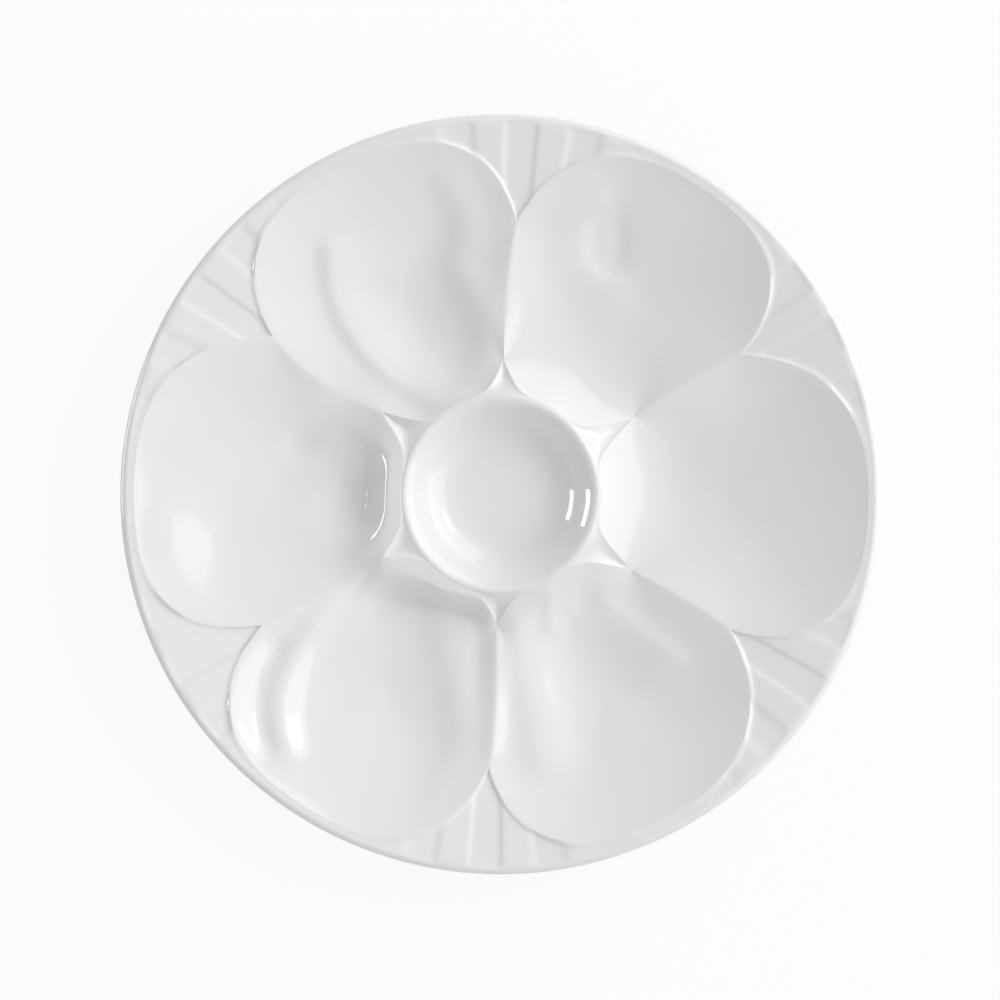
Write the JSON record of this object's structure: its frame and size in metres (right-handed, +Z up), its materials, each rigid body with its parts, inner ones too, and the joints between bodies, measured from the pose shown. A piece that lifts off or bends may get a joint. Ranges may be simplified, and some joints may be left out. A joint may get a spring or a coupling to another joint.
{
  "type": "oyster plate",
  "caption": "Round glazed porcelain oyster plate with scallop-shaped wells around a raised sauce cup, fluted rim and foot ring.",
  "frame": {"origin": "middle of the circle that the foot ring stands on, at the plate's base", "axes": "+Z up through the middle of the sauce cup; +X towards the picture's right, +Y towards its top"},
  "size_m": [0.254, 0.254, 0.0258],
  "materials": {
    "white_glaze": "glossy",
    "ground_foot": "matte"
  },
  "bodies": {
    "root": {"fluted_rim": "white_glaze", "oyster_well_1": "white_glaze", "oyster_well_2": "white_glaze", "oyster_well_3": "white_glaze", "oyster_well_4": "white_glaze", "oyster_well_5": "white_glaze", "oyster_well_6": "white_glaze", "cup_collar": "white_glaze", "sauce_cup": "white_glaze", "foot_ring": "ground_foot"}
  },
  "joints": []
}
